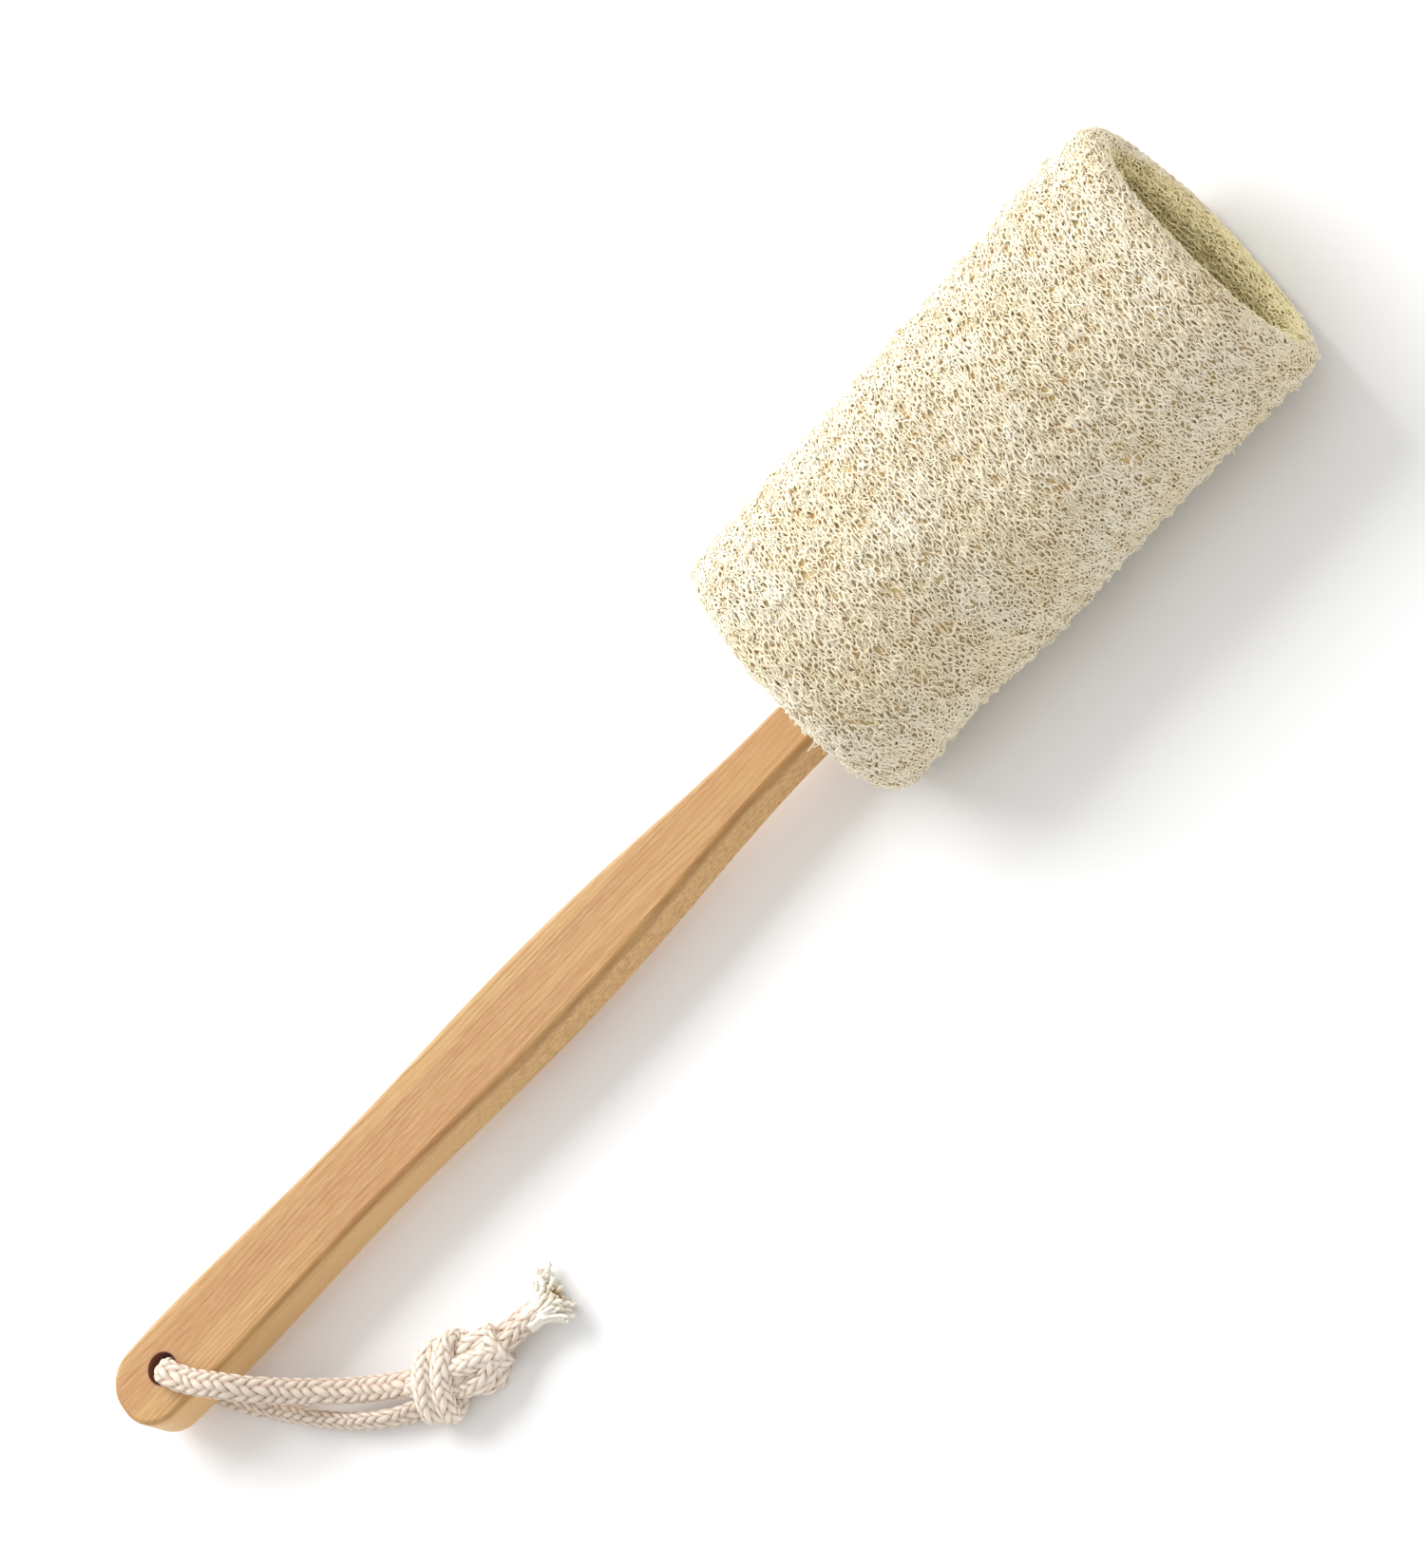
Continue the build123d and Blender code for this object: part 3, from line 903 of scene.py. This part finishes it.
def in_neck(points):
    """True where a fibre would run through the handle's neck."""
    inside = (points[..., 1] > NECK_LOW_Y) & (points[..., 1] < NECK_HIGH_Y)
    inside &= (points[..., 2] > NECK_LOW_Z) & (points[..., 2] < NECK_HIGH_Z)
    return inside & (points[..., 0] < HEAD_START + NECK_DEPTH)


def lattice(rows, columns, place, random, push):
    """Points of a triangle lattice that goes right round, pushed about, and its triangles."""
    row, column = np.meshgrid(np.arange(rows), np.arange(columns), indexing="ij")
    column = column + 0.5 * (row % 2)
    shoved = [grid + random.uniform(-push, push, grid.shape) for grid in (row, column)]
    points = place(*shoved).reshape(-1, 3)
    faces = []
    for r in range(rows - 1):
        for c in range(columns):
            right = (c + 1) % columns
            a, b = r * columns + c, r * columns + right
            d, e = (r + 1) * columns + c, (r + 1) * columns + right
            faces += [(a, b, d), (b, e, d)] if r % 2 == 0 else [(a, b, e), (a, e, d)]
    return points, faces


def wall_net(name, parts, depth, along, around, inside_reach, seed, material, **fibre):
    """One layer of net over the whole wall, from the closed end round the lip to the inside.

    The layer is grown in bands, so that no piece gets too many faces. Each band starts one row early,
    because the outermost row of a band has no cells of its own.
    """
    total = sum(length for length, _ in wall_parts(inside_reach))
    rows, columns = int(total / along), int(GIRTH / around)

    def place(row, column):
        run = np.clip(row * along, 0, total)
        return wall_point(run, 2 * math.pi * column / columns, depth, inside_reach)

    points, faces = lattice(rows, columns, place, np.random.default_rng(seed), NET_PUSH)
    inside = in_neck(points)
    faces = [face for face in faces if not inside[list(face)].any()]
    ends = [rows * number // parts for number in range(parts + 1)]
    bands = []
    for number, (first, last) in enumerate(zip(ends, ends[1:]), start=1):
        band = [face for face in faces if first - 1 <= face[0] // columns < last]
        bands.append(grown(f"{name}_{number}", points, [], band, NET_TREE,
                           Seed=seed, Material=material, **fibre))
    return bands


print("neck kept free from y", round(NECK_LOW_Y / MM, 1), "to", round(NECK_HIGH_Y / MM, 1), "mm")

# %% [markdown]
# ## Fibre colour
# Dried loofah is pale cream at its surface. The deeper layers are painted darker and more
# honey-coloured, as painted shade where less light gets in. The outer fibres, the middle net and the
# core have the same finish, each with its own pair of colours, and all turn to one warmer colour in the
# hollow, which is painted warm bounce light. The hollow is an oval that the finish knows by its sizes in
# mm.

# %% Loofah finish
HOLLOW_Y, HOLLOW_Z, HOLLOW_MIDDLE = 39.5, 24.5, 25.5
CLOSED_END = HEAD_START / MM


def loofah_finish(name, light, dark, hollow, roughness=0.8):
    """Mottled fibre colour that turns to a painted warm bounce light on the inside of the wall."""
    material, tree, shader = finish_named(name, roughness)
    place = tree.node("ShaderNodeTexCoord", out="Object")
    split = tree.node("ShaderNodeSeparateXYZ", {}, {0: place}, out=None)
    x, y, z = [Wire(tree.tree, socket) * (1 / MM) for socket in split.outputs]
    y, z = y * (1 / HOLLOW_Y), (z - HOLLOW_MIDDLE) * (1 / HOLLOW_Z)
    inside = ranged(tree, y * y + z * z, 0.9, 0.72) * ranged(tree, x, CLOSED_END + 4, CLOSED_END + 9)
    slow = tree.node("ShaderNodeTexNoise", {}, {"Vector": place, "Scale": 60.0, "Detail": 4.0})
    quick = tree.node("ShaderNodeTexNoise", {}, {"Vector": place, "Scale": 900.0, "Detail": 2.0})
    stops = [(0.32, dark), (0.66, light)]
    colour = tree.node("ShaderNodeValToRGB", {"stops": stops}, {"Fac": slow * 0.55 + quick * 0.45})
    plug(tree, blended(tree, inside, colour, hollow), shader, "Base Color")
    bumps = {"Height": quick, "Strength": 0.35, "Distance": 0.0001}
    plug(tree, tree.node("ShaderNodeBump", {}, bumps), shader, "Normal")
    return material


# The hollow's colour is painted warm bounce light, and the middle and core pairs are painted darker, as
# painted shade.
HOLLOW_BOUNCE_TINT = srgb(254, 240, 190)
outer_fibre = loofah_finish("loofah_outer", srgb(253, 246, 226), srgb(246, 229, 194), HOLLOW_BOUNCE_TINT)
middle_fibre = loofah_finish("loofah_middle", srgb(252, 240, 208), srgb(246, 226, 182), HOLLOW_BOUNCE_TINT)
core_fibre = loofah_finish("loofah_core", srgb(250, 232, 188), srgb(240, 210, 154), HOLLOW_BOUNCE_TINT, 0.9)
print("finishes:", outer_fibre.name, middle_fibre.name, core_fibre.name)

# %% [markdown]
# ## Layers of net
# Three nets lie one under another. The outermost has the finest cells, twice as wide round the girth
# as along it, because the fruit's outer fibres run round. The deeper ones are coarser, the last one is
# painted darker too, as painted shade, and goes far into the hollow, and the outer two have pits that
# let it show.

# %% Nets
LOOSE_NET = {"Weave": 0.5 * MM, "Waviness": 0.5 * MM, "Left_out": 0.08, "Points_each": 2}
OUTER_NET = LOOSE_NET | {"Fibre_radius": 0.31 * MM, "Waviness": 0.4 * MM, "Pits": 0.6, "Points_each": 3}
SECOND_NET = LOOSE_NET | {"Fibre_radius": 0.35 * MM, "Pits": 0.35}
MIDDLE_NET = LOOSE_NET | {"Fibre_radius": 0.38 * MM}
PAST_THE_RIM, INTO_THE_HOLLOW = 14 * MM, 90 * MM
layers = [
    *wall_net("net_outer", 3, depth=0.3 * MM, along=1.1 * MM, around=2.5 * MM,
              inside_reach=PAST_THE_RIM, seed=11, material=outer_fibre, **OUTER_NET),
    *wall_net("net_second", 2, depth=0.65 * MM, along=1.2 * MM, around=2.6 * MM,
              inside_reach=PAST_THE_RIM, seed=12, material=outer_fibre, **SECOND_NET),
    *wall_net("net_middle", 2, depth=1.0 * MM, along=1.4 * MM, around=2.7 * MM,
              inside_reach=INTO_THE_HOLLOW, seed=13, material=middle_fibre, **MIDDLE_NET),
]

# %% [markdown]
# ## Matted strands
# Over the net lie thousands of short strands, some broken and curled. They run mostly round the
# girth, dip in at both ends and lie near the skin in the middle. A few hundred longer curls stand off
# further.

# %% Strands on the wall
STRANDS_FROM, STRANDS_TO = CAP_REACH * 0.08, sum(length for length, _ in wall_parts(0))


def strands(count, seed, length, tilt, curl, depth, dip, steps=5):
    """Lines of short fibres on the map of the wall, headed round the girth.

    length, depth and dip are ranges: dip is how much deeper the ends lie than the middle. tilt is how
    far the headings stray, and curl how far each fibre turns on its way.
    """
    random = np.random.default_rng(seed)
    run = random.uniform(STRANDS_FROM, STRANDS_TO, count)[:, None]
    angle = random.uniform(0, 2 * math.pi, count)[:, None]
    way = random.uniform(*length, count)[:, None] * np.linspace(-0.5, 0.5, steps)
    heading = random.normal(0, tilt, count)[:, None]
    heading = heading + random.normal(0, curl, count)[:, None] * way / length[1]
    run = np.clip(run + way * np.sin(heading), 0, STRANDS_TO + WALL)
    angle = angle + way * np.cos(heading) * 2 * math.pi / GIRTH
    ends_in = (np.abs(np.linspace(-1, 1, steps)) ** 2)[None, :] * random.uniform(*dip, count)[:, None]
    lines = wall_point(run, angle, random.uniform(*depth, count)[:, None] + ends_in, WALL * 3)
    return lines[~in_neck(lines).any(axis=1)]


STRANDS_EACH = 6300
MATTED = {"tilt": 0.36, "curl": 1.0, "length": (1.8 * MM, 4.2 * MM),
          "depth": (-0.1 * MM, 0.35 * MM), "dip": (0.3 * MM, 0.8 * MM)}
CURLED = {"tilt": 0.8, "curl": 5.0, "length": (3.0 * MM, 7.0 * MM),
          "depth": (-0.7 * MM, 0.0), "dip": (-0.5 * MM, 1.2 * MM)}
matted = []
for number, seed in enumerate((21, 25, 26), start=1):
    lines = strands(STRANDS_EACH, seed, **MATTED)
    matted.append(loose(f"matted_{number}", lines, outer_fibre, seed,
                        radius=0.29 * MM, waviness=0.3 * MM, steps=5, pits=0.6))
curls = loose("loose_curls", strands(420, 22, steps=7, **CURLED), outer_fibre, 22,
              radius=0.19 * MM, waviness=0.5 * MM, steps=9)

# %% [markdown]
# ## Hairs round the neck
# Where the loofah was cut to let the neck in, broken fibres stand out of the closed end. They follow
# no wall, so each is a short bent line of its own, started on an oval round the upper part of the neck.

# %% Hairs where the neck goes in
HAIR_OVAL = (9.0 * MM, 7.6 * MM)
HAIR_LENGTHS = (1.5 * MM, 4.5 * MM)


def neck_hairs(count, seed):
    """Broken fibres that stand out of the closed end, close round the handle's neck."""
    random = np.random.default_rng(seed)
    centre = np.array([HEAD_START - 0.8 * MM, HOLE.y, HANDLE_HIGH.z - 5 * MM])
    angle = random.uniform(-0.3, math.pi + 0.3, count)
    off = random.uniform(1.0, 1.7, count)
    aside, above = HAIR_OVAL[0] * off * np.cos(angle), HAIR_OVAL[1] * off * np.sin(angle)
    start = centre + np.stack([0 * off, aside, above], axis=1)
    out = random.normal(0, 0.45, (count, 3))
    out[:, 0] = -random.uniform(0.5, 1.2, count)
    bend = random.normal(0, 1.0 * MM, (count, 3))
    reach = random.uniform(*HAIR_LENGTHS, count)[:, None]
    ways = np.linspace(-0.3, 1, 6)
    return np.stack([start + out * reach * way + bend * way ** 2 for way in ways], axis=1)


hairs = loose("neck_hairs", neck_hairs(150, 23), outer_fibre, 23,
              radius=0.16 * MM, waviness=0.3 * MM, steps=7)

# %% [markdown]
# ## Core
# The real wall is fibre all the way through. To fill it with more nets would cost millions of faces
# that nobody sees, so a thin closed shell stands in for the depths, and stops the eye in the pits. It
# follows the same map on the outside and on the inside, so it is as hollow as the head.

# %% Core of the wall
# The core's colours are painted darker and warmer than the outer fibres, as painted shade down in the
# pits.
CORE_DEPTH = 1.4 * MM
CORE_REACH = HEAD_LENGTH - 14 * MM
CORE_STEP, CORE_AROUND = 1.0 * MM, 200


def core_shell():
    """A thin closed shell inside the wall, which stops the eye between the fibres."""
    total = sum(length for length, _ in wall_parts(CORE_REACH))
    runs = np.arange(0, total, CORE_STEP)
    angle = 2 * math.pi * np.arange(CORE_AROUND) / CORE_AROUND
    run, turn = np.meshgrid(runs, angle, indexing="ij")
    points = wall_point(run.ravel(), turn.ravel(), CORE_DEPTH, CORE_REACH)
    faces = [tuple(reversed(f)) for f in tube_faces(len(runs), CORE_AROUND)]
    return add_mesh("core", points, faces, core_fibre)


core = core_shell()
print("core:", len(core.data.polygons), "faces")
for piece in layers + matted + [curls, hairs, core]:
    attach(piece, "scrubber")
    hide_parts("loofah_sleeve")

# %% [markdown]
# ## Wood
# The handle is sawn from one light board, so its grain is not painted on: rings go round the tree's
# pith, which lies beside the board, and the board's faces cut through them. On the broad face that
# gives long fine lines, and on the narrow side wider bands. Slow noise bends the rings, and fine
# noise stretched along the board is the pores. All lengths in this finish are in mm. On top, the near
# narrow side is painted lighter and yellower, partly its own tone and partly painted light; a brown
# line along its top edge is partly a growth ring and partly painted shade; the far top edge is darker;
# and the rim of the hole is painted dark, as painted shade inside the hole.

# %% Wood finish
PITH_Y, PITH_Z = 52.0, -26.0
RING = 1.25
FACE_HIGH = HANDLE_HIGH.z / MM
HOLE_RADIUS = 4.2


def stretched_noise(tree, axes, scales, detail=2.0):
    """Noise with a scale of its own along each axis. A small scale draws it out that way."""
    along = {k: axis * scale for k, (axis, scale) in enumerate(zip(axes, scales))}
    place = tree.node("ShaderNodeCombineXYZ", {}, along)
    return tree.node("ShaderNodeTexNoise", {}, {"Vector": place, "Scale": 1.0, "Detail": detail})


def wood_finish():
    material, tree, shader = finish_named("handle_wood", 0.5)
    place = tree.node("ShaderNodeTexCoord", out="Object")
    place = tree.node("ShaderNodeVectorMath", {"operation": "SCALE"}, {0: place, "Scale": 1 / MM})
    split = tree.node("ShaderNodeSeparateXYZ", {}, {0: place}, out=None)
    axes = x, y, z = [Wire(tree.tree, socket) for socket in split.outputs]
    bend = stretched_noise(tree, axes, (0.011, 0.05, 0.05), 1.0)
    from_pith = ((y - PITH_Y) * (y - PITH_Y) + (z - PITH_Z) * (z - PITH_Z)) ** 0.5
    ring = (from_pith + bend * 7.0 + x * 0.012) * (1 / RING)
    ring = tree.node("ShaderNodeMath", {"operation": "FRACT"}, {0: ring})
    line = ranged(tree, ring, 0.45, 0.95) - ranged(tree, ring, 0.95, 1.0)
    strength = stretched_noise(tree, axes, (0.02, 0.35, 0.35))
    pores = stretched_noise(tree, axes, (0.22, 5.0, 5.0), 3.0)
    bands = stretched_noise(tree, axes, (0.006, 0.14, 0.14))
    base = blended(tree, ranged(tree, bands, 0.35, 0.65), srgb(193, 151, 92), srgb(180, 131, 77))
    dark = blended(tree, line * ranged(tree, strength, 0.35, 0.7, 0.15, 0.75), base, srgb(150, 102, 54))
    streaks = blended(tree, ranged(tree, pores, 0.5, 0.75, 0.0, 0.4), dark, srgb(147, 97, 50))
    streaks = blended(tree, ranged(tree, pores, 0.5, 0.25, 0.0, 0.35), streaks, srgb(212, 174, 120))
    golden = ranged(tree, x, -170.0, -80.0, 0.0, 0.5)
    toned = blended(tree, golden, streaks, srgb(176, 124, 60))
    speckle = stretched_noise(tree, axes, (0.7, 1.5, 1.5), 4.0)
    speckle = ranged(tree, speckle, 0.42, 0.62) * ranged(tree, x, -235.0, -180.0, 0.15, 0.8)
    # The near narrow side is painted lighter and yellower: partly the side grain's own tone, partly
    # painted light that lifts the side, which faces away from the lamp.
    side_grain_and_light = blended(tree, speckle, srgb(232, 192, 134), srgb(196, 150, 94))
    side_share = ranged(tree, z, FACE_HIGH - 0.9, FACE_HIGH - 1.7, 0.0, 0.7)
    toned = blended(tree, side_share * ranged(tree, y, -4.0, -8.0), toned, side_grain_and_light)
    far_edge = ranged(tree, z, FACE_HIGH - 0.3, FACE_HIGH - 1.3, 0.0, 0.7)
    far_edge = far_edge * ranged(tree, y, -8.0, -4.0)
    toned = blended(tree, far_edge, toned, srgb(166, 116, 64))
    # A brown line along the near top edge: partly a growth ring, partly painted shade where the top
    # turns into the side.
    waver = stretched_noise(tree, axes, (0.05, 0.0, 0.0), 3.0)
    level = z + (waver - 0.5) * 5.0
    edge_ring_and_shade = ranged(tree, level, FACE_HIGH - 4.0, FACE_HIGH - 1.8)
    edge_ring_and_shade = edge_ring_and_shade - ranged(tree, level, FACE_HIGH - 1.6, FACE_HIGH)
    edge_ring_and_shade = edge_ring_and_shade * ranged(tree, y, -9.0, -12.0) * ranged(tree, x, -300.0, -170.0, 0.15, 0.6)
    toned = blended(tree, edge_ring_and_shade, toned, srgb(156, 108, 60))
    hole_x, hole_y = x - HOLE.x / MM, y - HOLE.y / MM
    off_hole = (hole_x * hole_x + hole_y * hole_y) ** 0.5
    # The rim of the hole is painted dark, as painted shade inside the hole.
    at_rim = ranged(tree, off_hole, HOLE_RADIUS + 0.5, HOLE_RADIUS)
    toned = blended(tree, at_rim, toned, srgb(122, 72, 48))
    plug(tree, toned, shader, "Base Color")
    plug(tree, ranged(tree, pores, 0.3, 0.7, 0.42, 0.62), shader, "Roughness")
    bumps = {"Height": pores * 0.6 + line * 0.3, "Strength": 0.35, "Distance": 0.00015}
    plug(tree, tree.node("ShaderNodeBump", {}, bumps), shader, "Normal")
    return material


def give_finish(node, material):
    """Swaps the finish of a carried-over solid piece and leaves its shape alone."""
    piece = frame["nodes"][node]
    piece.data.materials.clear()
    piece.data.materials.append(material)


give_finish("handle", wood_finish())
print("handle finish:", frame["nodes"]["handle"].data.materials[0].name)

# %% [markdown]
# ## Staples and stitches
# Three steel staples hold the loofah's underside to the blade, and six turns of thread draw the closed
# end together. They are small and mostly hidden, so their solid shapes stay, with a finish of their own.

# %% Steel and thread
def steel_finish():
    material, tree, shader = finish_named("staple_steel", 0.35, Metallic=1.0)
    place = tree.node("ShaderNodeTexCoord", out="Object")
    scuffs = tree.node("ShaderNodeTexNoise", {}, {"Vector": place, "Scale": 1500.0, "Detail": 3.0})
    plug(tree, ranged(tree, scuffs, 0.3, 0.7, 0.25, 0.5), shader, "Roughness")
    plug(tree, blended(tree, scuffs, srgb(196, 198, 202), srgb(150, 152, 158)), shader, "Base Color")
    return material


def thread_finish():
    material, tree, shader = finish_named("stitch_thread", 0.85)
    place = tree.node("ShaderNodeTexCoord", out="Object")
    twist_lines = {"Vector": place, "Scale": 380.0, "Distortion": 1.2, "Detail": 1.0}
    twist_lines = tree.node("ShaderNodeTexWave", {"bands_direction": "DIAGONAL"}, twist_lines)
    # The grooves of the twist are painted darker than the ridges, as painted shade.
    colour = blended(tree, twist_lines, srgb(224, 210, 182), srgb(248, 242, 226))
    plug(tree, colour, shader, "Base Color")
    bumps = {"Height": twist_lines, "Strength": 0.6, "Distance": 0.0002}
    plug(tree, tree.node("ShaderNodeBump", {}, bumps), shader, "Normal")
    return material


give_finish("staples", steel_finish())
give_finish("closing_stitches", thread_finish())
print("finishes:", sorted(material.name for material in bpy.data.materials))

# %% [markdown]
# ## Floor and light
# A plain white floor: one large soft lamp above and beyond the head's far side, and a
# bright white room that fills the shadows. The lamp's light falls most on the head's far side.

# %% Floor and light
LAMP_DIRECTION = Vector((-0.35, 1.3, 0.85))
LAMP_DISTANCE = 1.6
LAMP_SIZE = 1.3
LAMP_POWER = 33
ROOM_STRENGTH = 0.79
FLOOR_SIZE = 6.0

lamp = bpy.data.objects.new("key", bpy.data.lights.new("key", "AREA"))
lamp.data.size = LAMP_SIZE
lamp.data.energy = LAMP_POWER
lamp_place = CAMERA_TARGET + LAMP_DIRECTION.normalized() * LAMP_DISTANCE
facing = LAMP_DIRECTION.to_track_quat("Z", "Y").to_matrix().to_4x4()
lamp.matrix_world = Matrix.Translation(lamp_place) @ facing
bpy.context.scene.collection.objects.link(lamp)

world = bpy.data.worlds.new("studio")
world.use_nodes = True
room = world.node_tree.nodes["Background"]
room.inputs["Color"].default_value = (1, 1, 1, 1)
room.inputs["Strength"].default_value = ROOM_STRENGTH
bpy.context.scene.world = world
bpy.context.scene.view_settings.view_transform = "Standard"

floor_paint, _, shader = finish_named("floor_paint", 0.9)
shader.inputs["Base Color"].default_value = (0.93, 0.93, 0.93, 1)
corners = [(FLOOR_SIZE * x, FLOOR_SIZE * y, 0) for x, y in ((-1, -1), (1, -1), (1, 1), (-1, 1))]
floor = add_mesh("floor", corners, [(0, 1, 2, 3)], floor_paint)
print("lamp at", [round(v, 2) for v in lamp_place])
